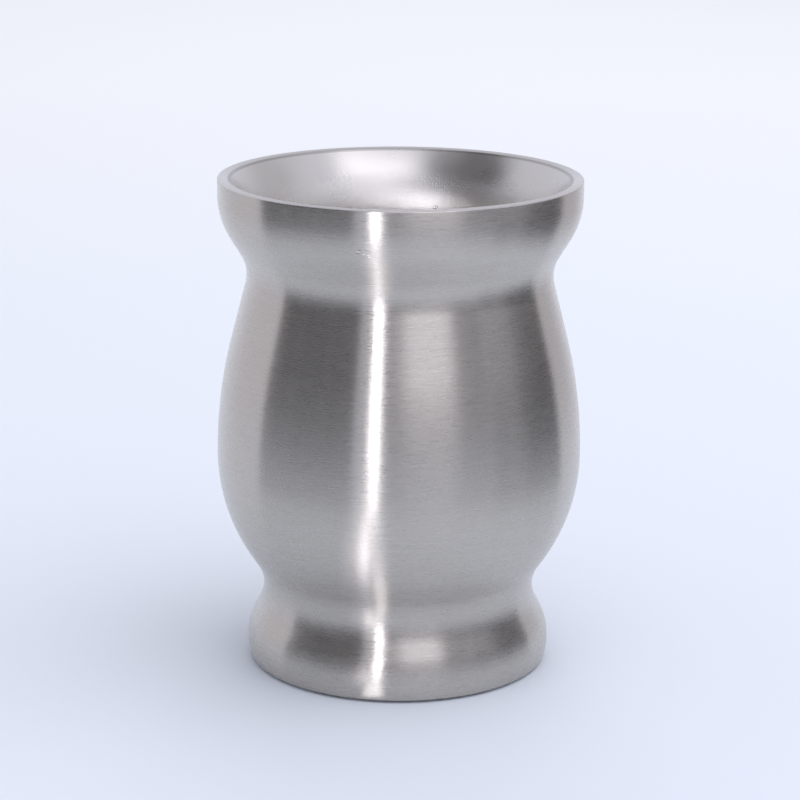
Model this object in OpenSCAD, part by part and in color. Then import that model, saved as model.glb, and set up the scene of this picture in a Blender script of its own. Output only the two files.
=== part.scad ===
// Mate cup of double-walled stainless sheet, standing on the XY plane with its axis on Z.
// A brushed outer shell runs from the foot over the belly and the neck to the flared collar.
// A plain inner cup with a funnel-shaped mouth hangs in it, welded to the shell all round the lip.
// A pressed base plate, welded inside the foot, closes it and carries the ring that the cup stands on.

/* [Overall] */
// Height from the table to the top of the lip
cup_h = 105.5; // [100:0.5:115]
// Thickness of the sheet of the outer shell and of the inner cup
sheet = 0.5; // [0.4:0.1:1]
// Empty space between the shell and the inner cup at the neck
void_gap = 1.6; // [1:0.1:3]

/* [Foot] */
// Diameter of the foot at its widest line
foot_d = 65.5; // [62:0.5:70]
// Height of the foot's widest line above the table
foot_z = 4.5; // [3.5:0.5:6]
// Radius of the foot's bulging side
foot_round = 12; // [8:0.5:14]
// Height of the shell's lower edge above the table
foot_edge = 0.6; // [0.3:0.1:1]

/* [Waist] */
// Diameter of the waist between the foot and the belly
waist_d = 58.5; // [56:0.5:60]
// Height of the waist above the table
waist_z = 16.5; // [15:0.5:18]
// Radius of the waist's hollow
waist_round = 9.5; // [7:0.5:11]

/* [Belly] */
// Diameter of the belly
belly_d = 78; // [74:0.5:84]
// Height of the belly's widest line above the table
belly_z = 46; // [42:1:50]
// Radius of the belly's side below its widest line
belly_low_round = 39.5; // [30:0.5:45]
// Radius of the belly's side above its widest line
belly_top_round = 100; // [70:5:110]

/* [Neck and collar] */
// Diameter of the neck
neck_d = 65; // [62:0.5:68]
// Distance from the lip down to the neck
neck_drop = 20.5; // [18:0.5:24]
// Radius of the neck's hollow
neck_round = 9; // [6:0.5:12]
// Diameter of the collar at the lip
rim_d = 77; // [73:0.5:82]
// Distance from the lip down to where the collar starts to curve in
collar_drop = 3.5; // [2.5:0.5:6]
// Radius of the collar's curve
collar_round = 16.5; // [10:0.5:18]

/* [Lip] */
// Radius ground on the lip's outer edge, where the shell turns in
lip_round = 0.25; // [0.1:0.05:1.5]
// Width of the lip from the rim to the weld that joins the inner cup
flange_w = 2.2; // [1.8:0.1:3]
// Radius ground on the lip's inner edge
lip_ease = 0.3; // [0.1:0.1:0.5]

/* [Inner cup] */
// Slope of the funnel-shaped mouth, in degrees away from upright
mouth_slope = 30; // [15:1:40]
// Radius of the bend from the funnel to the straight wall
mouth_round = 14; // [8:0.5:20]
// Height of the drinking floor above the waist
floor_rise = 1.5; // [1:0.5:20]
// Radius between the inner cup's wall and its floor
corner_round = 12; // [9:0.5:20]

/* [Base plate] */
// Thickness of the base plate's sheet
base_sheet = 0.6; // [0.4:0.1:1]
// Clearance between the base plate's outer bend and the inside of the foot
base_clearance = 0.05; // [0.02:0.01:0.2]
// Height of the skirt's upper edge above the table
base_skirt_h = 4; // [3:0.5:8]
// Radius of the base plate's bends
base_round = 1.2; // [1.1:0.1:1.6]
// Width of the flat ring that the cup stands on
ring_w = 2.5; // [1.5:0.5:6]
// Height of the recessed middle of the base above the table
recess_h = 2; // [1.5:0.1:4]
// Slope of the step between the ring and the recess
step_slope = 45; // [30:5:70]

/* [Hidden] */

// Facets in a full turn
$fn = 180;
// Most that the chord between two points of a section stands off the true curve
curve_error = 0.01;
// Points nearer than this are one point
same_point = 0.001;

// Signs of a bend: a bulge has its centre inside the sheet's outward face, a hollow outside it
BULGE = 1;
HOLLOW = -1;

// Half sections
foot_r = foot_d / 2;
waist_r = waist_d / 2;
belly_r = belly_d / 2;
neck_r = neck_d / 2;
rim_r = rim_d / 2;
neck_z = cup_h - neck_drop;
collar_z = cup_h - collar_drop;
weld_r = rim_r - flange_w;
// Outward face of the inner cup's straight wall, which clears the neck and goes in through the mouth
wall_r = min(neck_r - sheet - void_gap, weld_r);

// A bend is [centre across, centre up, radius, BULGE or HOLLOW]
function bulge(r, z, radius) = [r - radius, z, radius, BULGE];
function hollow(r, z, radius) = [r + radius, z, radius, HOLLOW];

// Share of their radii that a bulge and the hollow next to it keep, so that they meet with no kink.
// A bulge that stands out no further than the hollow leaves room for both.
function kept_share(bulge_round, hollow_round, across, up) =
    across > 0 ? min(1, (across * across + up * up) / (2 * across * (bulge_round + hollow_round))) : 1;

foot_share = kept_share(foot_round, waist_round, foot_r - waist_r, waist_z - foot_z);
belly_low_share = kept_share(belly_low_round, waist_round, belly_r - waist_r, belly_z - waist_z);
belly_top_share = kept_share(belly_top_round, neck_round, belly_r - neck_r, neck_z - belly_z);
collar_share = kept_share(collar_round, neck_round, rim_r - neck_r, collar_z - neck_z);

foot_bend = bulge(foot_r, foot_z, foot_round * foot_share);
waist_bend = hollow(waist_r, waist_z, waist_round * min(foot_share, belly_low_share));
belly_low = bulge(belly_r, belly_z, belly_low_round * belly_low_share);
belly_top = bulge(belly_r, belly_z, belly_top_round * belly_top_share);
neck_bend = hollow(neck_r, neck_z, neck_round * min(belly_top_share, collar_share));
collar_bend = bulge(rim_r, collar_z, collar_round * collar_share);
lip_radius = min(lip_round, flange_w);

// The funnel runs down from the weld to this bend, which is no rounder than the funnel is wide
mouth_radius = min(mouth_round, (weld_r - wall_r) / (1 - cos(mouth_slope)));
funnel_w = weld_r - wall_r - mouth_radius * (1 - cos(mouth_slope));
funnel_foot_z = cup_h - sheet - funnel_w / tan(mouth_slope);
mouth_bend = hollow(wall_r, funnel_foot_z - mouth_radius * sin(mouth_slope), mouth_radius);

// Lowest that the centre of the inner cup's corner may stand, if the corner is to clear a bend of the shell
corner_back = corner_round + sheet;
function clear_corner_z(bend) =
    let (
        reach = bend[3] * bend[2] - sheet - void_gap - corner_back,
        across = wall_r - corner_back - bend[0]
    )
    bend[1] - bend[3] * sqrt(max(0, reach * reach - across * across));

corner_z = max(
    waist_z + floor_rise + corner_round,
    clear_corner_z(waist_bend),
    clear_corner_z(belly_low)
);
floor_z = corner_z - corner_round;
corner_bend = bulge(wall_r, corner_z, corner_back);

// Tilt of the outward normal on the straight stretch that joins two bends, in degrees above level
function joint_tilt(bulging, hollowed) =
    let (
        across = hollowed[0] - bulging[0],
        up = hollowed[1] - bulging[1],
        slack = acos(min(1, (bulging[2] + hollowed[2]) / norm([across, up])))
    )
    atan2(up, across) - sign(up) * slack;

foot_tilt = joint_tilt(foot_bend, waist_bend);
waist_tilt = joint_tilt(belly_low, waist_bend);
belly_tilt = joint_tilt(belly_top, neck_bend);
// A collar no wider than the neck doesn't flare, so it rises straight
collar_tilt = min(0, joint_tilt(collar_bend, neck_bend));

// Point of a bend where the outward normal has this tilt, so deep inside the outward face
function bend_point(bend, tilt, depth) =
    let (reach = bend[3] * bend[2] - depth)
    [bend[0] + reach * cos(tilt), bend[1] + reach * sin(tilt)];

// Points along a bend between two tilts
function bend_points(bend, from, to, depth) =
    let (
        radius = abs(bend[3] * bend[2] - depth),
        steps = max(1, ceil(abs(to - from) / (2 * acos(max(-1, 1 - curve_error / radius)))))
    )
    [for (i = [0:steps]) bend_point(bend, from + (to - from) * i / steps, depth)];

// Tilt of the normal where a bulge crosses a level
function level_tilt(bend, level, depth) = asin((level - bend[1]) / (bend[2] - depth));

// The same bend carried across by a distance
function moved(bend, across) = bend + [across, 0, 0, 0];

function reversed(points) = [for (i = [len(points) - 1:-1:0]) points[i]];

function distinct(points) =
    [for (i = [0:len(points) - 1]) if (i == 0 || norm(points[i] - points[i - 1]) > same_point) points[i]];

// Full turn of a sheet between an outward and an inward face, both listed in the same direction
module turned_sheet(outward, inward) {
    rotate_extrude()
        polygon(distinct(concat(outward, reversed(inward))));
}

// The lip's outer edge at a depth, which is a sharp corner where the edge's radius is less than that
function lip_corner(depth) =
    let (radius = lip_radius - depth)
    radius > 0
        ? bend_points(bulge(rim_r - depth, cup_h - lip_radius, radius), 0, 90, 0)
        : [[rim_r - depth, cup_h - depth]];

// A face of the shell, from its lower edge up to the weld at the lip
function shell_face(depth) = concat(
    bend_points(foot_bend, level_tilt(foot_bend, foot_edge, depth), foot_tilt, depth),
    bend_points(waist_bend, foot_tilt, waist_tilt, depth),
    bend_points(belly_low, waist_tilt, 0, depth),
    bend_points(belly_top, 0, belly_tilt, depth),
    bend_points(neck_bend, belly_tilt, collar_tilt, depth),
    bend_points(collar_bend, collar_tilt, 0, depth),
    lip_corner(depth),
    [[weld_r, cup_h - depth]]
);

module outer_shell() {
    color([0.66, 0.66, 0.67])
        turned_sheet(shell_face(0), shell_face(sheet));
}

// A face of the inner cup below its edge: funnel, straight wall, corner and floor
function inner_cup_face(depth) = concat(
    bend_points(mouth_bend, -mouth_slope, 0, depth),
    bend_points(corner_bend, 0, -90, depth),
    [[0, floor_z - sheet + depth]]
);

module inner_cup() {
    // The ground edge turns from the flat of the lip to the drinking side of the funnel
    ease = min(lip_ease, sheet);
    flat_w = (sheet - ease) * (1 - sin(mouth_slope)) / cos(mouth_slope);
    eased_edge = [weld_r - flat_w, cup_h - ease, ease, BULGE];
    // Below the lip's flat, the edge stands face to face with the end of the shell's flange
    color([0.74, 0.74, 0.75])
        turned_sheet(
            concat([[weld_r, cup_h], [weld_r, cup_h - sheet]], inner_cup_face(0)),
            concat(bend_points(eased_edge, 90, 180 - mouth_slope, 0), inner_cup_face(sheet))
        );
}

// Radius at which a bend of this radius, standing on the table, nests in the foot's bulge with its clearance
function nested_r(radius) =
    let (
        reach = foot_bend[2] - sheet - base_clearance - radius,
        up = foot_z - radius
    )
    foot_bend[0] + sqrt(reach * reach - up * up) + radius;

// Bends of the base plate, in order: from the skirt to the ring, from the ring to the step,
// and from the step to the recess, which is placed where the slope of the step ends
skirt_r = nested_r(base_round);
skirt_bend = bulge(skirt_r, base_round, base_round);
ring_bend = moved(skirt_bend, -ring_w);
step_tilt = -90 - step_slope;
step_foot = bend_point(ring_bend, step_tilt, 0);
axis_bend = [0, recess_h - base_round, base_round, HOLLOW];
step_head = bend_point(axis_bend, step_tilt, 0);
step_run = (step_head[1] - step_foot[1]) / tan(step_slope);
recess_bend = moved(axis_bend, step_foot[0] - step_run - step_head[0]);

// A face of the base plate, from the skirt's upper edge round the ring to the middle of the recess
function base_face(depth) = concat(
    [[skirt_r - depth, base_skirt_h]],
    bend_points(skirt_bend, 0, -90, depth),
    bend_points(ring_bend, -90, step_tilt, depth),
    bend_points(recess_bend, step_tilt, -90, depth),
    [[0, recess_h + depth]]
);

module base_plate() {
    color([0.6, 0.6, 0.61])
        turned_sheet(base_face(0), base_face(base_sheet));
}

outer_shell();
inner_cup();
base_plate();
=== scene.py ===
"""A double-walled steel mate cup on a pale studio floor: brushed shell, satin inner cup, turned base."""

import logging
from collections.abc import Callable
from dataclasses import dataclass
from enum import Enum
from math import acos, asin, atan2, cos, hypot, pi, radians, sin, sqrt, tan

import bmesh
import bpy
from mathutils import Euler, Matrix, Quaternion, Vector


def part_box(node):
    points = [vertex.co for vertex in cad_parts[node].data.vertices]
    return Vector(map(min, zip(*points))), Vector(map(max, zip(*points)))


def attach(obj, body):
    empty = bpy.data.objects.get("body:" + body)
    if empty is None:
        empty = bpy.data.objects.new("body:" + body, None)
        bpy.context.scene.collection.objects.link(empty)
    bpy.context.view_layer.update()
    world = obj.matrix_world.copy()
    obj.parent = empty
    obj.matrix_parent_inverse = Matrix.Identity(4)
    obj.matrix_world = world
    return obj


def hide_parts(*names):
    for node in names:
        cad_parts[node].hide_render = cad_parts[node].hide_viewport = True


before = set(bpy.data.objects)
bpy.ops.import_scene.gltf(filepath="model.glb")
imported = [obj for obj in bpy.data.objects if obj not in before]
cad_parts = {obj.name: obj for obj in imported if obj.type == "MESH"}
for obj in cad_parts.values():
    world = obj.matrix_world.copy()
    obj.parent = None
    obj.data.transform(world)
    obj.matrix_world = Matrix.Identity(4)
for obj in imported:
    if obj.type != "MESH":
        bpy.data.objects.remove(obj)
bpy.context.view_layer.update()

MM = 0.001
ROUND_STEPS = 256
CARD_TINT = (0.98, 0.97, 1.07)
# Two points of a section that are closer than this count as one
SAME_POINT = 0.001 * MM
# Points closer than this are joined where the turned section closes on itself
SEAM = 0.0005 * MM
LOG = logging.getLogger("mate_cup")

Point = tuple[float, float]
Colour = tuple[float, float, float]


class Side(Enum):
    """Which way a bend of the section is turned, as the sign of its reach from its centre."""

    BULGE = 1
    HOLLOW = -1


@dataclass(frozen=True)
class Bend:
    """A round stretch of the cup's section.

    Its tilt is that of the outward normal, in radians above level.
    """

    across: float
    up: float
    radius: float
    side: Side

    @classmethod
    def bulge(cls, r: float, z: float, radius: float) -> "Bend":
        """A bend whose widest point is at this radius and height."""
        return cls(r - radius, z, radius, Side.BULGE)

    @classmethod
    def hollow(cls, r: float, z: float, radius: float) -> "Bend":
        """A bend whose narrowest point is at this radius and height."""
        return cls(r + radius, z, radius, Side.HOLLOW)

    def reach(self, depth: float) -> float:
        """Signed distance from the centre to the face at this depth inside the outward face."""
        return self.side.value * self.radius - depth

    def point(self, tilt: float, depth: float = 0.0) -> Point:
        """Point of the bend where the outward normal has this tilt, at this depth."""
        reach = self.reach(depth)
        return self.across + reach * cos(tilt), self.up + reach * sin(tilt)

    def level_tilt(self, level: float, depth: float) -> float:
        """Tilt of the normal where a bulge crosses a level."""
        return asin((level - self.up) / self.reach(depth))

    def moved(self, across: float) -> "Bend":
        """The same bend carried across by a distance."""
        return Bend(self.across + across, self.up, self.radius, self.side)

    def tilt_towards(self, hollowed: "Bend") -> float:
        """Tilt of the normal on the straight stretch that joins this bulge to a hollow.

        Args:
            hollowed: The hollow that the bulge runs into.

        Returns:
            The tilt, in radians above level.
        """
        across, up = hollowed.across - self.across, hollowed.up - self.up
        slack = acos(min(1.0, (self.radius + hollowed.radius) / hypot(across, up)))
        return atan2(up, across) - (slack if up > 0 else -slack)


@dataclass(frozen=True)
class CupSizes:
    """Sizes that the three pieces of sheet share, in metres, as the solids have them."""

    height: float
    sheet: float = 0.5 * MM
    void_gap: float = 1.6 * MM
    foot_r: float = 32.75 * MM
    foot_z: float = 4.5 * MM
    foot_round: float = 12 * MM
    foot_edge: float = 0.6 * MM
    waist_r: float = 29.25 * MM
    waist_z: float = 16.5 * MM
    waist_round: float = 9.5 * MM
    belly_r: float = 39 * MM
    belly_z: float = 46 * MM
    belly_low_round: float = 39.5 * MM
    belly_top_round: float = 100 * MM
    neck_r: float = 32.5 * MM
    neck_drop: float = 20.5 * MM
    neck_round: float = 9 * MM
    rim_r: float = 38.5 * MM
    collar_drop: float = 3.5 * MM
    collar_round: float = 16.5 * MM
    lip_round: float = 0.25 * MM
    flange_w: float = 2.2 * MM
    lip_ease: float = 0.3 * MM
    mouth_slope: float = radians(30)
    mouth_round: float = 14 * MM
    floor_rise: float = 1.5 * MM
    corner_round: float = 12 * MM

    @property
    def weld_r(self) -> float:
        """Radius of the weld between the shell's flange and the inner cup's edge."""
        return self.rim_r - self.flange_w

    @property
    def wall_r(self) -> float:
        """Outward radius of the inner cup's straight wall."""
        return self.neck_r - self.sheet - self.void_gap

    @property
    def floor_z(self) -> float:
        """Height of the drinking floor."""
        return self.waist_z + self.floor_rise

    @property
    def foot(self) -> Bend:
        """The foot's bulging side."""
        return Bend.bulge(self.foot_r, self.foot_z, self.foot_round)

    @property
    def waist(self) -> Bend:
        """The hollow between the foot and the belly."""
        return Bend.hollow(self.waist_r, self.waist_z, self.waist_round)

    @property
    def belly_low(self) -> Bend:
        """The belly's side below its widest line."""
        return Bend.bulge(self.belly_r, self.belly_z, self.belly_low_round)

    @property
    def belly_top(self) -> Bend:
        """The belly's side above its widest line."""
        return Bend.bulge(self.belly_r, self.belly_z, self.belly_top_round)

    @property
    def neck(self) -> Bend:
        """The hollow between the belly and the collar."""
        return Bend.hollow(self.neck_r, self.height - self.neck_drop, self.neck_round)

    @property
    def collar(self) -> Bend:
        """The collar's flare, up to the straight band under the lip."""
        return Bend.bulge(self.rim_r, self.height - self.collar_drop, self.collar_round)

    def lip(self, depth: float) -> Bend:
        """The lip's outer edge at a depth, a sharp corner where the edge's radius is less than that."""
        radius = max(0.0, self.lip_round - depth)
        return Bend.bulge(self.rim_r - depth, self.height - depth - radius, radius)

    @property
    def mouth(self) -> Bend:
        """The bend from the inner cup's funnel to its straight wall."""
        funnel_w = self.weld_r - self.wall_r - self.mouth_round * (1 - cos(self.mouth_slope))
        funnel_foot_z = self.height - self.sheet - funnel_w / tan(self.mouth_slope)
        centre_z = funnel_foot_z - self.mouth_round * sin(self.mouth_slope)
        return Bend.hollow(self.wall_r, centre_z, self.mouth_round)

    @property
    def corner(self) -> Bend:
        """The turn from the inner cup's wall to its floor."""
        return Bend.bulge(self.wall_r, self.floor_z + self.corner_round, self.corner_round + self.sheet)


class SectionPen:
    """Draws the closed section of a sheet in the XZ half-plane and turns it round the axis."""

    RUN = "run"

    def __init__(self, start: Point) -> None:
        """Puts the pen down.

        Args:
            start: First point of the section, as distance from the axis and height.
        """
        self.mesh = bmesh.new()
        self.run = self.mesh.verts.layers.float.new(self.RUN)
        self.first = bmesh.ops.create_vert(self.mesh, co=(start[0], 0, start[1]))["vert"][0]
        self.tip = self.first

    def _walked(self, tip: bmesh.types.BMVert, length: float) -> None:
        """Moves the tip on and notes how far along the section it is."""
        tip[self.run] = self.tip[self.run] + length
        self.tip = tip

    def line(self, end: Point) -> "SectionPen":
        """Draws straight to a point, unless the tip is there already.

        Args:
            end: Distance from the axis and height.

        Returns:
            The pen itself.
        """
        way = Vector((end[0], 0, end[1])) - self.tip.co
        if way.length > SAME_POINT:
            made = bmesh.ops.extrude_vert_indiv(self.mesh, verts=[self.tip])["verts"]
            bmesh.ops.translate(self.mesh, verts=made, vec=way)
            self._walked(made[0], way.length)
        return self

    def bend(self, bend: Bend, start: float, end: float, depth: float, step: float) -> "SectionPen":
        """Draws to the start of a bend and round it.

        Args:
            bend: The bend to follow.
            start: Tilt of the outward normal where the stretch starts.
            end: Tilt of the outward normal where it ends.
            depth: Depth of the face inside the outward face.
            step: Longest side of the drawn line.

        Returns:
            The pen itself.
        """
        self.line(bend.point(start, depth))
        length = abs(bend.reach(depth) * (end - start))
        steps = max(1, round(length / step))
        if length < SAME_POINT:
            return self
        for _ in range(steps):
            made = bmesh.ops.spin(
                self.mesh, geom=[self.tip], cent=(bend.across, 0, bend.up), axis=(0, -1, 0),
                dvec=(0, 0, 0), angle=(end - start) / steps, steps=1, use_merge=False,
                use_normal_flip=False, use_duplicate=False,
            )["geom_last"]
            tip = next(part for part in made if isinstance(part, bmesh.types.BMVert))
            self._walked(tip, length / steps)
        return self

    def turned(self, name: str, sharp_angle: float, edge_ease: float) -> bpy.types.Object:
        """Closes the section, turns it full round the axis and eases its sharp edges.

        Args:
            name: Name of the new object.
            sharp_angle: Angle between faces from which an edge counts as a cut edge of the sheet.
            edge_ease: Width of the bevel on the cut edges.

        Returns:
            The finished object, its origin at the cup's.
        """
        on_axis = max(self.first.co.x, self.tip.co.x) < SAME_POINT
        if not on_axis:
            self.mesh.edges.new((self.tip, self.first))
        bmesh.ops.spin(
            self.mesh, geom=[*self.mesh.verts, *self.mesh.edges], cent=(0, 0, 0), axis=(0, 0, 1),
            dvec=(0, 0, 0), angle=2 * pi, steps=ROUND_STEPS, use_merge=True,
            use_normal_flip=False, use_duplicate=False,
        )
        bmesh.ops.remove_doubles(self.mesh, verts=self.mesh.verts, dist=SEAM)
        bmesh.ops.recalc_face_normals(self.mesh, faces=self.mesh.faces)
        cut_edges = [
            edge for edge in self.mesh.edges
            if len(edge.link_faces) == 2 and edge.calc_face_angle() > sharp_angle
        ]
        bmesh.ops.bevel(
            self.mesh, geom=cut_edges, offset=edge_ease, offset_type="OFFSET", affect="EDGES",
            segments=2, profile=0.5, material=-1, clamp_overlap=True,
        )
        for face in self.mesh.faces:
            face.smooth = True
        data = bpy.data.meshes.new(name)
        self.mesh.to_mesh(data)
        self.mesh.free()
        data.set_sharp_from_angle(angle=sharp_angle)
        made = bpy.data.objects.new(name, data)
        bpy.context.scene.collection.objects.link(made)
        return made


class Wire:
    """A node's output, on which plain arithmetic adds Math nodes."""

    def __init__(self, bench: "ShaderBench", socket: bpy.types.NodeSocket) -> None:
        """Wraps a socket of a node on the bench."""
        self.bench = bench
        self.socket = socket

    def _math(self, operation: str, first: "Value", second: "Value") -> "Wire":
        """One Math node on two values."""
        return self.bench.node("ShaderNodeMath", {"operation": operation}, {0: first, 1: second})

    def __add__(self, other: "Value") -> "Wire":
        """Sum of two values."""
        return self._math("ADD", self, other)

    def __radd__(self, other: "Value") -> "Wire":
        """Sum with a number on the left."""
        return self._math("ADD", other, self)

    def __sub__(self, other: "Value") -> "Wire":
        """Difference of two values."""
        return self._math("SUBTRACT", self, other)

    def __rsub__(self, other: "Value") -> "Wire":
        """Difference with a number on the left."""
        return self._math("SUBTRACT", other, self)

    def __mul__(self, other: "Value") -> "Wire":
        """Product of two values."""
        return self._math("MULTIPLY", self, other)

    def __rmul__(self, other: "Value") -> "Wire":
        """Product with a number on the left."""
        return self._math("MULTIPLY", other, self)

    def __truediv__(self, other: "Value") -> "Wire":
        """Quotient of two values."""
        return self._math("DIVIDE", self, other)


Value = Wire | float | tuple[float, ...]


class ShaderBench:
    """A material's or the world's node tree, and the few ways in which nodes are added to it."""

    def __init__(self, tree: bpy.types.NodeTree) -> None:
        """Clears the tree."""
        self.tree = tree
        tree.nodes.clear()

    def node(
        self, kind: str, settings: dict, sockets: dict[int | str, Value], output: int | str = 0,
    ) -> Wire:
        """Adds one node.

        Args:
            kind: The node's type.
            settings: Its settings, which are set first.
            sockets: Values or wires for its inputs, by number or name.
            output: Which output is given back.

        Returns:
            A wire on that output.
        """
        made = self.tree.nodes.new(kind)
        for name, value in settings.items():
            setattr(made, name, value)
        for key, value in sockets.items():
            if isinstance(value, Wire):
                self.tree.links.new(value.socket, made.inputs[key])
            else:
                made.inputs[key].default_value = value
        return Wire(self, made.outputs[output] if len(made.outputs) else made.inputs[0])

    def place(self) -> Wire:
        """Object coordinates of the shaded point."""
        return self.node("ShaderNodeTexCoord", {}, {}, "Object")

    def axes(self, vector: Wire) -> tuple[Wire, Wire, Wire]:
        """The three parts of a vector."""
        split = self.node("ShaderNodeSeparateXYZ", {}, {0: vector}).socket.node
        return Wire(self, split.outputs[0]), Wire(self, split.outputs[1]), Wire(self, split.outputs[2])

    def vector(self, x: Value, y: Value, z: Value) -> Wire:
        """A vector from its three parts."""
        return self.node("ShaderNodeCombineXYZ", {}, {0: x, 1: y, 2: z})

    def attribute(self, name: str) -> Wire:
        """A float attribute of the mesh."""
        return self.node("ShaderNodeAttribute", {"attribute_name": name}, {}, "Fac")

    def noise(self, where: Wire, detail: float = 2.0, roughness: float = 0.5) -> Wire:
        """Even noise about 0.5 with features one unit wide."""
        return self.node(
            "ShaderNodeTexNoise", {"noise_dimensions": "3D"},
            {"Vector": where, "Scale": 1.0, "Detail": detail, "Roughness": roughness},
        )

    def cloud(self, size: float, detail: float = 2.0, roughness: float = 0.5) -> Wire:
        """Noise about 0.5 with features of this size, alike in every direction."""
        x, y, z = self.axes(self.place())
        return self.noise(self.vector(x / size, y / size, z / size), detail, roughness)

    def rise(self, value: Wire, start: float, end: float) -> Wire:
        """Smooth step between two values.

        Args:
            value: The value that is stepped.
            start: Where the step gives 0.
            end: Where it gives 1, above the start or below it.

        Returns:
            Values from 0 to 1.
        """
        low, high = min(start, end), max(start, end)
        step = self.node(
            "ShaderNodeMapRange", {"interpolation_type": "SMOOTHSTEP"},
            {"Value": value, "From Min": low, "From Max": high, "To Min": 0.0, "To Max": 1.0},
        )
        return step if start < end else 1.0 - step

    def mixed(self, share: Value, first: Value, second: Value) -> Wire:
        """Colour between two colours."""
        return self.node(
            "ShaderNodeMix", {"data_type": "RGBA"}, {"Factor": share, 6: first, 7: second}, 2
        )

    def bearing(self, x: Wire, y: Wire) -> Wire:
        """Angle round the axis in degrees, 0 at the front and positive towards +X."""
        return self.node("ShaderNodeMath", {"operation": "ARCTAN2"}, {0: x, 1: 0.0 - y}) * (180 / pi)

    def output(self, kind: str, shader: Wire) -> None:
        """Links a shader to the tree's output node."""
        self.node(kind, {}, {0: shader})


def new_material(name: str) -> tuple[bpy.types.Material, ShaderBench]:
    """A new material with an empty node tree.

    Args:
        name: Name of the material.

    Returns:
        The material and the bench of its tree.
    """
    material = bpy.data.materials.new(name)
    material.use_nodes = True
    return material, ShaderBench(material.node_tree)


def toned(colour: Colour, share: float) -> tuple[float, ...]:
    """The colour made darker or paler by a share, with full alpha."""
    return (*(part * share for part in colour), 1)


@dataclass(frozen=True)
class KnockStroke:
    """One short stroke of a knock on the collar, by its middle, its length and its width; a pale stroke is
    painted highlight and a dark one painted shade.
    """

    bearing: float
    height: float
    length: float
    # True for a stroke of painted highlight, False for one of painted shade
    pale: bool
    width: float = 0.3 * MM

    def mask(self, bench: ShaderBench, bearing: Wire, z: Wire, radius: float) -> Wire:
        """Share of the stroke at the shaded point.

        Args:
            bench: The bench to add to.
            bearing: Angle round the axis, in degrees.
            z: Height of the point.
            radius: Radius of the collar there.

        Returns:
            Values from 0 outside the stroke to 1 along its middle.
        """
        along = (bearing - self.bearing) * (2 * radians(1) * radius / self.length)
        across = (z - self.height) * (2 / self.width)
        return bench.rise(along * along + across * across, 1.0, 0.1)


@dataclass(frozen=True)
class BrushedSteel:
    """Steel brushed round the axis: fine level strokes that stretch every reflection up and down."""

    name: str = "brushed_shell_steel"
    colour: Colour = (0.57, 0.54, 0.50)
    roughness: float = 0.28
    roughness_span: float = 0.10
    anisotropy: float = 0.975
    stroke_length: float = 4 * MM
    stroke_width: float = 0.26 * MM
    stroke_height: float = 0.022 * MM
    stroke_wave: float = 0.3 * MM
    wander_scale: float = 4.0
    coarse_scale: float = 3.0
    coarse_wave: float = 0.8 * MM
    fine_share: float = 0.6
    tone: float = 2.0
    contrast: float = 0.06
    knock_r: float = 37.6 * MM
    knock_share: float = 0.75
    # The knock is a real mark on the collar; its dark strokes are painted shade and its pale strokes
    # painted highlight
    knock_shade: Colour = (0.22, 0.21, 0.20)
    knock_highlight: Colour = (1.0, 0.98, 0.95)
    knock: tuple[KnockStroke, ...] = (
        KnockStroke(-12.4, 97.44 * MM, 1.1 * MM, False),
        KnockStroke(-12.7, 97.10 * MM, 0.9 * MM, True),
        KnockStroke(-12.8, 96.72 * MM, 0.9 * MM, False),
        KnockStroke(-11.1, 96.58 * MM, 0.9 * MM, True),
        KnockStroke(-10.0, 97.48 * MM, 0.5 * MM, False),
        KnockStroke(-9.8, 97.74 * MM, 0.4 * MM, True),
        KnockStroke(-9.7, 96.36 * MM, 0.7 * MM, True),
        KnockStroke(-9.3, 96.00 * MM, 0.7 * MM, True),
    )

    def strokes(self, bench: ShaderBench, length: float, width: float, wave: float) -> Wire:
        """Noise drawn out round the axis.

        Args:
            bench: The bench to add to.
            length: Usual length of a stroke.
            width: Usual distance between strokes.
            wave: How far the strokes wander up and down.

        Returns:
            Values about 0.5.
        """
        x, y, _ = bench.axes(bench.place())
        wander = bench.cloud(self.wander_scale * length, detail=0.0)
        run = bench.attribute(SectionPen.RUN) + (wander - 0.5) * wave
        return bench.noise(bench.vector(x / length, y / length, run / width), detail=3.0, roughness=0.6)

    def knocked(self, bench: ShaderBench, colour: Wire) -> Wire:
        """Lays the strokes of the knock over the colour, as painted shade and painted highlight.

        Args:
            bench: The bench to add to.
            colour: The colour of the steel round the knock.

        Returns:
            The colour with the strokes.
        """
        x, y, z = bench.axes(bench.place())
        bearing = bench.bearing(x, y)
        for stroke in self.knock:
            # Each stroke is painted highlight or painted shade
            stroke_tone = self.knock_highlight if stroke.pale else self.knock_shade
            share = stroke.mask(bench, bearing, z, self.knock_r) * self.knock_share
            colour = bench.mixed(share, colour, (*stroke_tone, 1))
        return colour

    def material(self) -> bpy.types.Material:
        """Builds the material.

        Returns:
            The finished material.
        """
        made, bench = new_material(self.name)
        fine = self.strokes(bench, self.stroke_length, self.stroke_width, self.stroke_wave)
        coarse = self.strokes(
            bench, self.coarse_scale * self.stroke_length, self.coarse_scale * self.stroke_width,
            self.coarse_wave,
        )
        tone = (fine * self.fine_share + coarse * (1 - self.fine_share) - 0.5) * self.tone + 0.5
        dark = toned(self.colour, 1 - self.contrast)
        pale = toned(self.colour, 1 + self.contrast)
        colour = self.knocked(bench, bench.mixed(tone, dark, pale))
        bump = bench.node("ShaderNodeBump", {}, {
            "Strength": 1.0, "Distance": self.stroke_height, "Height": fine,
        })
        steel = bench.node("ShaderNodeBsdfPrincipled", {}, {
            "Base Color": colour, "Metallic": 1.0,
            "Roughness": (fine - 0.5) * self.roughness_span + self.roughness,
            "Anisotropic": self.anisotropy, "Anisotropic Rotation": 0.25, "Normal": bump,
        })
        bench.output("ShaderNodeOutputMaterial", steel)
        return made


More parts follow.
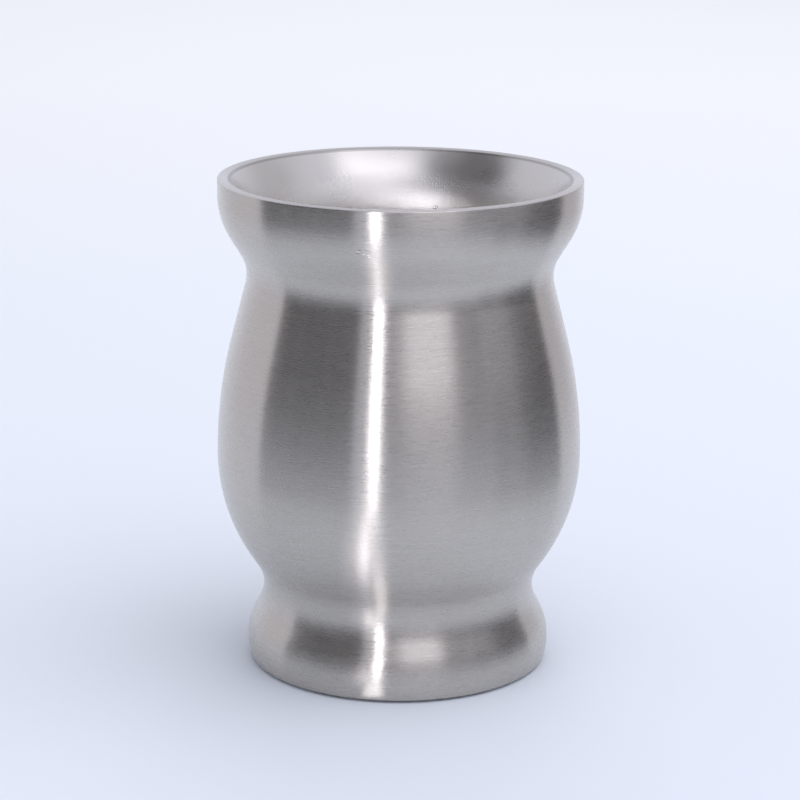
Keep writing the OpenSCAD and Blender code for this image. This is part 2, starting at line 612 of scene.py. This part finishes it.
@dataclass(frozen=True)
class SatinSteel:
    """Blasted steel with a fine even grain, which fades out where the funnel is smoothed, and painted shade
    along the top of its eased edge at the lip.
    """

    name: str = "satin_liner_steel"
    colour: Colour = (0.62, 0.595, 0.56)
    contrast: float = 0.05
    cloud_size: float = 9 * MM
    roughness: float = 0.28
    roughness_span: float = 0.1
    grain_size: float = 0.36 * MM
    grain_height: float = 0.12 * MM
    smooth_above: float = 102 * MM
    grainy_below: float = 97 * MM
    smooth_share: float = 0.08
    # Painted shade: above this band the inner cup's eased edge at the lip is darkened towards near black
    edge_shade_foot: float = 104.9 * MM
    edge_shade_top: float = 105.15 * MM
    edge_shade_share: float = 0.35
    edge_shade_colour: Colour = (0.05, 0.05, 0.05)

    def material(self) -> bpy.types.Material:
        """Builds the material.

        Returns:
            The finished material.
        """
        made, bench = new_material(self.name)
        _, _, z = bench.axes(bench.place())
        grain = bench.cloud(self.grain_size, roughness=0.6)
        cloud = bench.cloud(self.cloud_size)
        grainy = bench.rise(z, self.smooth_above, self.grainy_below)
        depth = grainy * (1 - self.smooth_share) + self.smooth_share
        dark = toned(self.colour, 1 - self.contrast)
        pale = toned(self.colour, 1 + self.contrast)
        # Painted shade darkens the top of the eased edge at the lip
        edge = bench.rise(z, self.edge_shade_foot, self.edge_shade_top) * self.edge_shade_share
        colour = bench.mixed(edge, bench.mixed(cloud, dark, pale), (*self.edge_shade_colour, 1))
        bump = bench.node("ShaderNodeBump", {}, {
            "Strength": 1.0, "Distance": self.grain_height, "Height": grain * depth,
        })
        steel = bench.node("ShaderNodeBsdfPrincipled", {}, {
            "Base Color": colour, "Metallic": 1.0,
            "Roughness": (cloud - 0.5) * self.roughness_span + self.roughness, "Normal": bump,
        })
        bench.output("ShaderNodeOutputMaterial", steel)
        return made


@dataclass(frozen=True)
class TurnedSteel:
    """Pressed steel with faint rings left by the polishing wheel."""

    name: str = "turned_base_steel"
    colour: Colour = (0.55, 0.53, 0.50)
    dark_share: float = 0.92
    pale_share: float = 1.06
    cloud_size: float = 12 * MM
    roughness: float = 0.38
    roughness_span: float = 0.12
    ring_run: float = 9 * MM
    ring_pitch: float = 0.3 * MM
    ring_height: float = 0.02 * MM

    def material(self) -> bpy.types.Material:
        """Builds the material.

        Returns:
            The finished material.
        """
        made, bench = new_material(self.name)
        x, y, _ = bench.axes(bench.place())
        run = bench.attribute(SectionPen.RUN)
        across = bench.vector(x / self.ring_run, y / self.ring_run, run / self.ring_pitch)
        rings = bench.noise(across, roughness=0.6)
        cloud = bench.cloud(self.cloud_size)
        dark = toned(self.colour, self.dark_share)
        pale = toned(self.colour, self.pale_share)
        bump = bench.node(
            "ShaderNodeBump", {}, {"Strength": 1.0, "Distance": self.ring_height, "Height": rings},
        )
        steel = bench.node("ShaderNodeBsdfPrincipled", {}, {
            "Base Color": bench.mixed(cloud, dark, pale), "Metallic": 1.0,
            "Roughness": (rings - 0.5) * self.roughness_span + self.roughness, "Normal": bump,
        })
        bench.output("ShaderNodeOutputMaterial", steel)
        return made


@dataclass(frozen=True)
class OuterShell:
    """The brushed outer sheet, from the foot's lower edge to the flange at the lip."""

    sizes: CupSizes
    finish: BrushedSteel = BrushedSteel()
    visible_step: float = 0.8 * MM
    hidden_step: float = 2.4 * MM
    lip_step: float = 0.06 * MM
    sharp_angle: float = radians(50)
    edge_ease: float = 0.07 * MM

    def face(self, pen: SectionPen, depth: float, step: float, upwards: bool) -> None:
        """Draws one face of the sheet.

        Args:
            pen: The pen to draw with.
            depth: Depth of the face inside the outward face.
            step: Longest side of the drawn line.
            upwards: True from the foot to the lip, False from the lip to the foot.
        """
        s = self.sizes
        foot_tilt = s.foot.tilt_towards(s.waist)
        waist_tilt = s.belly_low.tilt_towards(s.waist)
        belly_tilt = s.belly_top.tilt_towards(s.neck)
        collar_tilt = s.collar.tilt_towards(s.neck)
        stretches = [
            (s.foot, s.foot.level_tilt(s.foot_edge, depth), foot_tilt),
            (s.waist, foot_tilt, waist_tilt),
            (s.belly_low, waist_tilt, 0.0),
            (s.belly_top, 0.0, belly_tilt),
            (s.neck, belly_tilt, collar_tilt),
            (s.collar, collar_tilt, 0.0),
        ]
        flange_end = (s.weld_r, s.height - depth)
        if upwards:
            for bend, start, end in stretches:
                pen.bend(bend, start, end, depth, step)
            pen.bend(s.lip(depth), 0.0, pi / 2, 0.0, self.lip_step).line(flange_end)
        else:
            pen.line(flange_end).bend(s.lip(depth), pi / 2, 0.0, 0.0, self.lip_step)
            for bend, start, end in reversed(stretches):
                pen.bend(bend, end, start, depth, step)

    def build(self) -> bpy.types.Object:
        """Makes the shell, dresses it and puts it on the cup.

        Returns:
            The dressed shell.
        """
        s = self.sizes
        pen = SectionPen(s.foot.point(s.foot.level_tilt(s.foot_edge, 0.0)))
        self.face(pen, 0.0, self.visible_step, True)
        self.face(pen, s.sheet, self.hidden_step, False)
        shell = pen.turned("brushed_shell", self.sharp_angle, self.edge_ease)
        shell.data.materials.append(self.finish.material())
        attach(shell, "root")
        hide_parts("outer_shell")
        return shell


@dataclass(frozen=True)
class InnerCup:
    """The satin inner sheet: its edge at the lip, funnel, straight wall, corner and floor."""

    sizes: CupSizes
    finish: SatinSteel = SatinSteel()
    visible_step: float = 0.8 * MM
    hidden_step: float = 2.4 * MM
    edge_step: float = 0.1 * MM
    sharp_angle: float = radians(50)
    edge_ease: float = 0.07 * MM

    def face(self, pen: SectionPen, depth: float, step: float, downwards: bool) -> None:
        """Draws one face of the sheet below its edge.

        Args:
            pen: The pen to draw with.
            depth: Depth of the face inside the outward face.
            step: Longest side of the drawn line.
            downwards: True from the lip to the floor, False from the floor to the lip.
        """
        s = self.sizes
        stretches = [
            (s.mouth, -s.mouth_slope, 0.0),
            (s.corner, 0.0, -pi / 2),
        ]
        floor = (0.0, s.floor_z - s.sheet + depth)
        if downwards:
            for bend, start, end in stretches:
                pen.bend(bend, start, end, depth, step)
            pen.line(floor)
        else:
            pen.line(floor)
            for bend, start, end in reversed(stretches):
                pen.bend(bend, end, start, depth, step)

    def build(self) -> bpy.types.Object:
        """Makes the inner cup, dresses it and puts it on the cup.

        Returns:
            The dressed inner cup.
        """
        s = self.sizes
        flat_w = (s.sheet - s.lip_ease) * (1 - sin(s.mouth_slope)) / cos(s.mouth_slope)
        eased = Bend(s.weld_r - flat_w, s.height - s.lip_ease, s.lip_ease, Side.BULGE)
        pen = SectionPen((0.0, s.floor_z - s.sheet))
        self.face(pen, 0.0, self.hidden_step, False)
        pen.line((s.weld_r, s.height - s.sheet))
        pen.line((s.weld_r, s.height))
        pen.bend(eased, pi / 2, pi - s.mouth_slope, 0.0, self.edge_step)
        self.face(pen, s.sheet, self.visible_step, True)
        cup = pen.turned("satin_inner_cup", self.sharp_angle, self.edge_ease)
        cup.data.materials.append(self.finish.material())
        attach(cup, "root")
        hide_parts("inner_cup")
        return cup


@dataclass(frozen=True)
class BasePlate:
    """The pressed plate in the foot, with the ring that the cup stands on."""

    sizes: CupSizes
    finish: TurnedSteel = TurnedSteel()
    sheet: float = 0.6 * MM
    clearance: float = 0.05 * MM
    skirt_h: float = 4 * MM
    bend_round: float = 1.2 * MM
    ring_w: float = 2.5 * MM
    recess_h: float = 2 * MM
    step_slope: float = radians(45)
    step: float = 0.2 * MM
    sharp_angle: float = radians(50)
    edge_ease: float = 0.07 * MM

    @property
    def skirt_r(self) -> float:
        """Radius at which the plate's outer bend nests in the foot's bulge with its clearance."""
        s = self.sizes
        reach = s.foot_round - s.sheet - self.clearance - self.bend_round
        up = s.foot_z - self.bend_round
        return s.foot.across + sqrt(reach * reach - up * up) + self.bend_round

    def face(self, pen: SectionPen, depth: float, inwards: bool) -> None:
        """Draws one face of the sheet between the skirt's upper edge and the middle.

        Args:
            pen: The pen to draw with.
            depth: Depth of the face inside the outward face.
            inwards: True from the skirt to the middle, False from the middle to the skirt.
        """
        skirt = Bend.bulge(self.skirt_r, self.bend_round, self.bend_round)
        ring = skirt.moved(-self.ring_w)
        step_tilt = -pi / 2 - self.step_slope
        step_foot = ring.point(step_tilt)
        on_axis = Bend(0.0, self.recess_h - self.bend_round, self.bend_round, Side.HOLLOW)
        step_head = on_axis.point(step_tilt)
        step_run = (step_head[1] - step_foot[1]) / tan(self.step_slope)
        recess = on_axis.moved(step_foot[0] - step_run - step_head[0])
        stretches = [
            (skirt, 0.0, -pi / 2),
            (ring, -pi / 2, step_tilt),
            (recess, step_tilt, -pi / 2),
        ]
        top = (self.skirt_r - depth, self.skirt_h)
        middle = (0.0, self.recess_h + depth)
        if inwards:
            pen.line(top)
            for bend, start, end in stretches:
                pen.bend(bend, start, end, depth, self.step)
            pen.line(middle)
        else:
            pen.line(middle)
            for bend, start, end in reversed(stretches):
                pen.bend(bend, end, start, depth, self.step)
            pen.line(top)

    def build(self) -> bpy.types.Object:
        """Makes the base plate, dresses it and puts it on the cup.

        Returns:
            The dressed base plate.
        """
        pen = SectionPen((0.0, self.recess_h))
        self.face(pen, 0.0, False)
        self.face(pen, self.sheet, True)
        plate = pen.turned("turned_base", self.sharp_angle, self.edge_ease)
        plate.data.materials.append(self.finish.material())
        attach(plate, "root")
        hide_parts("base_plate")
        return plate


def put_on_stage(name: str, mesh: bmesh.types.BMesh, material: bpy.types.Material) -> bpy.types.Object:
    """Turns a finished mesh into a part of the stage.

    Args:
        name: Name of the new object.
        mesh: Its mesh, which is freed.
        material: Its only material.

    Returns:
        The object.
    """
    data = bpy.data.meshes.new(name)
    mesh.to_mesh(data)
    mesh.free()
    made = bpy.data.objects.new(name, data)
    bpy.context.scene.collection.objects.link(made)
    made.data.materials.append(material)
    return made


def show_to_gloss_only(card: bpy.types.Object) -> None:
    """Hides a card from everything but reflections.

    Args:
        card: The card to hide.
    """
    card.visible_camera = False
    card.visible_diffuse = False
    card.visible_shadow = False
    card.visible_transmission = False


def glowing(name: str, draw: Callable[[ShaderBench], tuple[Wire, Value]]) -> bpy.types.Material:
    """A plain glow that is clear outside its mask.

    Args:
        name: Name of the material.
        draw: Gives the mask and the strength on a bench.

    Returns:
        The material.
    """
    made, bench = new_material(name)
    mask, strength = draw(bench)
    light = bench.node("ShaderNodeEmission", {}, {"Color": (*CARD_TINT, 1), "Strength": strength})
    clear = bench.node("ShaderNodeBsdfTransparent", {}, {})
    shader = bench.node("ShaderNodeMixShader", {}, {0: mask, 1: clear, 2: light})
    bench.output("ShaderNodeOutputMaterial", shader)
    return made


@dataclass(frozen=True)
class Card:
    """A curved card that only reflections see, as a flag or a reflector beside a product is.

    Its bearings, the fades at its sides and the width of its streaks are in degrees round the cup,
    0 at the front and positive towards +X.
    """

    name: str
    start: float
    end: float
    top_z: float
    level: float
    radius: float = 0.28
    foot_z: float = 0.0
    fade_start: float = 4.0
    fade_end: float = 4.0
    fade_top: float = 0.05
    fade_foot: float = 0.0
    streaks: float = 0.0
    streak_width: float = 5.0
    streak_height: float = 1.5
    steps: int = 24

    def draw(self, bench: ShaderBench) -> tuple[Wire, Value]:
        """Gives the card soft borders, and its level upright streaks.

        Args:
            bench: The bench to add to.

        Returns:
            The mask and the level.
        """
        x, y, z = bench.axes(bench.place())
        bearing = bench.bearing(x, y)
        mask = (
            bench.rise(bearing, self.start, self.start + self.fade_start)
            * bench.rise(bearing, self.end, self.end - self.fade_end)
            * bench.rise(z, self.top_z, self.top_z - self.fade_top)
        )
        if self.fade_foot > 0:
            mask = mask * bench.rise(z, self.foot_z, self.foot_z + self.fade_foot)
        where = bench.vector(bearing / self.streak_width, 0.0, z / self.streak_height)
        streak = bench.noise(where, detail=3.0, roughness=0.6)
        return mask, ((streak - 0.5) * (2 * self.streaks) + 1.0) * self.level

    def build(self) -> bpy.types.Object:
        """Makes the card from an upright edge turned round the cup's axis.

        Returns:
            The card.
        """
        mesh = bmesh.new()
        angle = radians(self.start)
        foot = Vector((sin(angle), -cos(angle), 0)) * self.radius + Vector((0, 0, self.foot_z))
        vert = bmesh.ops.create_vert(mesh, co=foot)["vert"]
        made = bmesh.ops.extrude_vert_indiv(mesh, verts=vert)["verts"]
        bmesh.ops.translate(mesh, verts=made, vec=(0, 0, self.top_z - self.foot_z))
        bmesh.ops.spin(
            mesh, geom=[*mesh.verts, *mesh.edges], cent=(0, 0, 0), axis=(0, 0, 1), dvec=(0, 0, 0),
            angle=radians(self.end - self.start), steps=self.steps, use_merge=False,
            use_normal_flip=False, use_duplicate=False,
        )
        card = put_on_stage(self.name, mesh, glowing(self.name, self.draw))
        show_to_gloss_only(card)
        return card


@dataclass(frozen=True)
class FloorGlint:
    """A line of light that the cup throws on the floor before it, seen only in the cup's own sheen."""

    name: str = "floor_glint"
    bearing: float = -14.5
    offset: float = -4.5 * MM
    half_width: float = 4 * MM
    halo_width: float = 15 * MM
    start: float = 50 * MM
    end: float = 200 * MM
    fade: float = 16 * MM
    lift: float = 0.4 * MM
    level: float = 1.6
    halo_level: float = 1.25

    @property
    def along(self) -> Vector:
        """Direction of the line on the floor."""
        return Vector((sin(radians(self.bearing)), -cos(radians(self.bearing)), 0))

    @property
    def across(self) -> Vector:
        """Direction across the line."""
        return Vector((cos(radians(self.bearing)), sin(radians(self.bearing)), 0))

    def draw(self, bench: ShaderBench) -> tuple[Wire, Value]:
        """Gives the line soft borders and its level.

        Args:
            bench: The bench to add to.

        Returns:
            The mask and the level.
        """
        x, y, _ = bench.axes(bench.place())
        across = x * self.across.x + y * self.across.y - self.offset
        along = x * self.along.x + y * self.along.y
        near, wide = across * (1 / self.half_width), across * (1 / self.halo_width)
        mask = bench.rise(wide * wide, 1.0, 0.0) * bench.rise(along, self.end, self.start + self.fade)
        return mask, bench.rise(near * near, 1.0, 0.0) * self.level + self.halo_level

    def build(self) -> bpy.types.Object:
        """Makes the line from one edge drawn out along the floor.

        Returns:
            The line, as a strip.
        """
        mesh = bmesh.new()
        side = self.across * (self.offset - self.halo_width)
        corner = self.along * self.start + side + Vector((0, 0, self.lift))
        vert = bmesh.ops.create_vert(mesh, co=corner)["vert"]
        made = bmesh.ops.extrude_vert_indiv(mesh, verts=vert)["verts"]
        bmesh.ops.translate(mesh, verts=made, vec=self.across * (2 * self.halo_width))
        drawn = bmesh.ops.extrude_edge_only(mesh, edges=mesh.edges[:])["geom"]
        ends = [part for part in drawn if isinstance(part, bmesh.types.BMVert)]
        bmesh.ops.translate(mesh, verts=ends, vec=self.along * (self.end - self.start))
        glint = put_on_stage(self.name, mesh, glowing(self.name, self.draw))
        show_to_gloss_only(glint)
        return glint


@dataclass(frozen=True)
class Floor:
    """The pale seamless floor, whose colour is painted a little brighter far behind the cup than in front
    of it, as painted light.
    """

    radius: float = 4.0
    # Painted light: the near colour is darker than the far one
    near: Colour = (0.775, 0.825, 0.96)
    far: Colour = (0.90, 0.92, 1.0)
    near_y: float = -0.1
    far_y: float = 1.0
    steps: int = 96

    def material(self) -> bpy.types.Material:
        """Builds the matt paper, which is clear from below.

        Returns:
            The finished material.
        """
        made, bench = new_material("pale_floor")
        _, y, _ = bench.axes(bench.place())
        # Painted light: the paper's colour grows brighter from the front to the back
        colour = bench.mixed(bench.rise(y, self.near_y, self.far_y), (*self.near, 1), (*self.far, 1))
        paper = bench.node("ShaderNodeBsdfDiffuse", {}, {"Color": colour, "Roughness": 0.0})
        clear = bench.node("ShaderNodeBsdfTransparent", {}, {})
        below = bench.node("ShaderNodeNewGeometry", {}, {}, "Backfacing")
        shader = bench.node("ShaderNodeMixShader", {}, {0: below, 1: paper, 2: clear})
        bench.output("ShaderNodeOutputMaterial", shader)
        return made

    def build(self) -> bpy.types.Object:
        """Makes the floor from a disc.

        Returns:
            The floor.
        """
        mesh = bmesh.new()
        bmesh.ops.create_circle(mesh, cap_ends=True, radius=self.radius, segments=self.steps)
        return put_on_stage("studio_floor", mesh, self.material())


@dataclass(frozen=True)
class SoftLamp:
    """A square soft lamp that points at the cup."""

    name: str
    place: tuple[float, float, float]
    size: float
    power: float
    colour: Colour = (1.0, 1.0, 1.0)
    mirrored: bool = True
    aim_z: float = 0.05

    def build(self) -> bpy.types.Object:
        """Makes the lamp and aims it at the middle of the cup.

        Returns:
            The lamp.
        """
        data = bpy.data.lights.new(self.name, "AREA")
        data.shape = "SQUARE"
        data.size = self.size
        data.energy = self.power
        data.color = self.colour
        lamp = bpy.data.objects.new(self.name, data)
        bpy.context.scene.collection.objects.link(lamp)
        lamp.location = self.place
        aim = Vector((0, 0, self.aim_z)) - lamp.location
        lamp.rotation_mode = "QUATERNION"
        lamp.rotation_quaternion = aim.to_track_quat("-Z", "Y")
        lamp.visible_glossy = self.mirrored
        lamp.visible_camera = False
        return lamp

    def light_only(self, piece: bpy.types.Object) -> None:
        """Makes the lamp and keeps its light to one piece, as a snoot does.

        Args:
            piece: The piece that it lights.
        """
        lit = bpy.data.collections.new(f"lit_by_{self.name}")
        lit.objects.link(piece)
        self.build().light_linking.receiver_collection = lit


@dataclass(frozen=True)
class Studio:
    """All but the cup: floor, lines of light, cards, lamps, pale surroundings and the camera."""

    floor: Floor = Floor()
    glints: tuple[FloorGlint, ...] = (
        FloorGlint(),
        FloorGlint(
            "foot_glint", -16, 3.9 * MM, half_width=3.5 * MM, halo_width=4.5 * MM,
            start=33 * MM, end=62 * MM, fade=3 * MM, lift=0.5 * MM, level=1.1, halo_level=0.6,
        ),
    )
    surround: Colour = (0.62, 0.62, 0.62)
    backdrop: Colour = (0.84, 0.86, 0.985)
    cards: tuple[Card, ...] = (
        Card("left_wing", -150, -87, 0.30, 0.74, 0.30, fade_start=35, fade_top=0.12),
        Card("dark_card", -91, -24, 0.70, 0.14, fade_start=2.5, fade_top=0.14, streaks=0.8),
        Card("strip_card", -16.2, -11.9, 0.245, 8.5, 0.25, fade_start=1.0, fade_end=1.2),
        Card("front_card", -24, 60, 0.27, 0.27, fade_top=0.1, streaks=0.15),
        Card("front_glow", 6, 40, 0.24, 0.34, 0.27, fade_start=14, fade_end=12, fade_top=0.14, streaks=0.1),
        Card("front_panel", -6, 42, 0.25, 2.5, 0.26, 0.130, fade_start=16, fade_end=12, fade_foot=0.03),
        Card("side_card", 54, 100, 0.165, 0.2, 0.22, fade_top=0.06, streaks=0.4),
        Card("right_dark_card", 72, 113, 0.155, 0.08, 0.21, fade_start=14, fade_top=0.06, streaks=0.5),
        Card("right_wing", 92, 160, 0.42, 0.62, 0.29, fade_start=12, fade_end=35, fade_top=0.15),
        Card(
            "soft_box", -20, 72, 1.10, 3.1, 0.60, 0.69,
            fade_start=12, fade_end=22, fade_top=0.2, fade_foot=0.2,
        ),
        Card(
            "high_dark_card", -104, -80, 0.70, 0.12, 0.27, 0.20,
            fade_start=5, fade_top=0.14, fade_foot=0.06,
        ),
        Card(
            "left_sky", -105, -18, 1.2, 1.5, 0.28, 0.72,
            fade_start=15, fade_end=15, fade_top=0.2, fade_foot=0.1,
        ),
    )
    lamps: tuple[SoftLamp, ...] = (
        SoftLamp("key_lamp", (0.45, -0.2, 1.25), 1.5, 9.2, mirrored=False),
        SoftLamp("backdrop_lamp", (0.0, 1.5, 1.2), 1.0, 4.8, mirrored=False),
    )
    mouth_lamp: SoftLamp = SoftLamp("mouth_lamp", (-0.083, -0.206, 0.147), 0.035, 0.14, CARD_TINT)
    sensor: float = 36
    lens: float = 119.46
    nearest: float = 0.01
    farthest: float = 20
    camera_place: tuple[float, float, float] = (0.000175, -0.5505, 0.2049)
    pitch: float = 0.2625
    roll: float = 0.0070

    def world(self) -> None:
        """Even pale surroundings, with the backdrop's own tone for the camera."""
        world = bpy.data.worlds.new("studio")
        world.use_nodes = True
        bpy.context.scene.world = world
        bench = ShaderBench(world.node_tree)
        seen = bench.node("ShaderNodeLightPath", {}, {}, "Is Camera Ray")
        mirrored = bench.node("ShaderNodeLightPath", {}, {}, "Is Glossy Ray")
        colour = bench.mixed(seen + mirrored, (*self.surround, 1), (*self.backdrop, 1))
        glow = bench.node("ShaderNodeBackground", {}, {"Color": colour, "Strength": 1.0})
        bench.output("ShaderNodeOutputWorld", glow)

    def camera(self) -> None:
        """The camera at the photograph's viewing angle."""
        data = bpy.data.cameras.new("camera")
        data.sensor_width = self.sensor
        data.lens = self.lens
        data.clip_start = self.nearest
        data.clip_end = self.farthest
        camera = bpy.data.objects.new("camera", data)
        bpy.context.scene.collection.objects.link(camera)
        camera.location = self.camera_place
        camera.rotation_mode = "QUATERNION"
        tipped = Euler((pi / 2 - self.pitch, 0, 0)).to_quaternion()
        camera.rotation_quaternion = tipped @ Quaternion((0, 0, 1), self.roll)
        bpy.context.scene.camera = camera

    def build(self) -> None:
        """Makes the stage, but for the mouth lamp, which waits for the piece that it lights."""
        self.camera()
        self.world()
        self.floor.build()
        for glint in self.glints:
            glint.build()
        for card in self.cards:
            card.build()
        for lamp in self.lamps:
            lamp.build()
        bpy.context.scene.view_settings.view_transform = "Standard"


def main() -> None:
    """Builds the stage and the cup's three pieces, and logs how many faces each has."""
    logging.basicConfig(level=logging.INFO, format="%(name)s: %(message)s")
    studio = Studio()
    studio.build()
    sizes = CupSizes(height=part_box("outer_shell")[1].z)
    for maker in (OuterShell(sizes), InnerCup(sizes), BasePlate(sizes)):
        piece = maker.build()
        if isinstance(maker, InnerCup):
            studio.mouth_lamp.light_only(piece)
        LOG.info("%s: %d faces", piece.name, len(piece.data.polygons))


if __name__ == "__main__":
    main()
